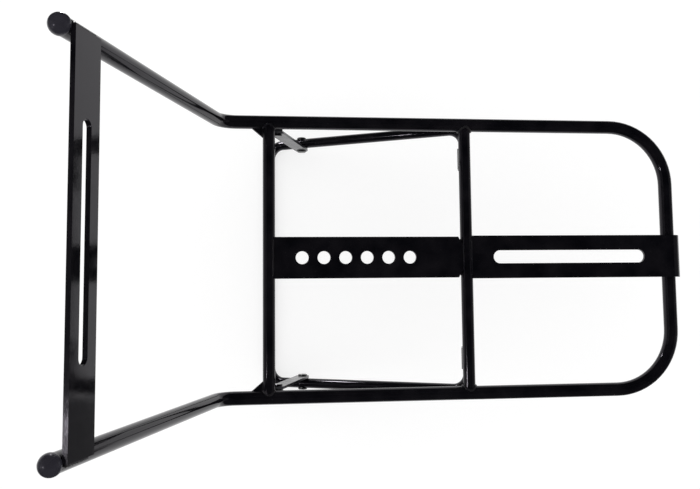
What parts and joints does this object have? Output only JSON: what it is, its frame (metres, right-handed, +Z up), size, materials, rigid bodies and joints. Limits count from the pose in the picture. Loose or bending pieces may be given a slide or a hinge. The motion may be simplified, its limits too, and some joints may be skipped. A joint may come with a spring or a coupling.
{
  "type": "folding luggage carrier",
  "caption": "Tubular luggage carrier with upright arms, slotted back plate, flat strips down the deck and a looped leg that folds flat.",
  "frame": {"origin": "middle of the row of six holes, on the underside of the front strip", "axes": "+X along the deck from the upright arms to the rear loop, +Y to the left-hand rail, +Z up out of the deck"},
  "size_m": [0.5317, 0.2702, 0.3725],
  "materials": {
    "gloss_black_paint": "gloss black stoved paint over welded steel",
    "stay_paint": "gloss black paint, worn where the bars rub",
    "black_knob": "moulded black ball knob",
    "dark_plated_steel": "black zinc plating"
  },
  "bodies": {
    "frame": {"main_tube": "gloss_black_paint", "front_cross_bar": "gloss_black_paint", "rear_cross_bar": "gloss_black_paint", "hole_strip": "gloss_black_paint", "slotted_strip": "gloss_black_paint", "back_plate": "gloss_black_paint", "knob_left": "black_knob", "knob_right": "black_knob", "corner_gusset_left": "gloss_black_paint", "corner_gusset_right": "gloss_black_paint", "hinge_sleeve_left": "gloss_black_paint", "hinge_sleeve_right": "gloss_black_paint", "stud_lug_left": "gloss_black_paint", "stud_lug_right": "gloss_black_paint", "hook_stud_left": "gloss_black_paint", "hook_stud_right": "gloss_black_paint"},
    "leg": {"leg_frame": "gloss_black_paint", "pivot_washer_left": "dark_plated_steel", "pivot_washer_right": "dark_plated_steel", "split_pin_left": "dark_plated_steel", "split_pin_right": "dark_plated_steel", "stay_rivet_left": "dark_plated_steel", "stay_rivet_right": "dark_plated_steel"},
    "stay_left": {"stay_left": "stay_paint"},
    "stay_right": {"stay_right": "stay_paint"}
  },
  "joints": [
    {"name": "leg_fold", "type": "hinge", "parent": "frame", "child": "leg", "pos_m": [0.109, 0, -0.01329], "axis": [0, 1, 0], "range_deg": [0, 24]},
    {"name": "stay_left_fold", "type": "hinge", "parent": "leg", "child": "stay_left", "pos_m": [-0.04673, 0.12005, -0.09421], "axis": [0, 1, 0], "range_deg": [0, 80.16]},
    {"name": "stay_right_fold", "type": "hinge", "parent": "leg", "child": "stay_right", "pos_m": [-0.04673, -0.12005, -0.09421], "axis": [0, 1, 0], "range_deg": [0, 80.16]}
  ],
  "couplings": [
    {"joint": "stay_left_fold", "follows": "leg_fold", "ratio": 3.34},
    {"joint": "stay_right_fold", "follows": "leg_fold", "ratio": 3.34}
  ]
}
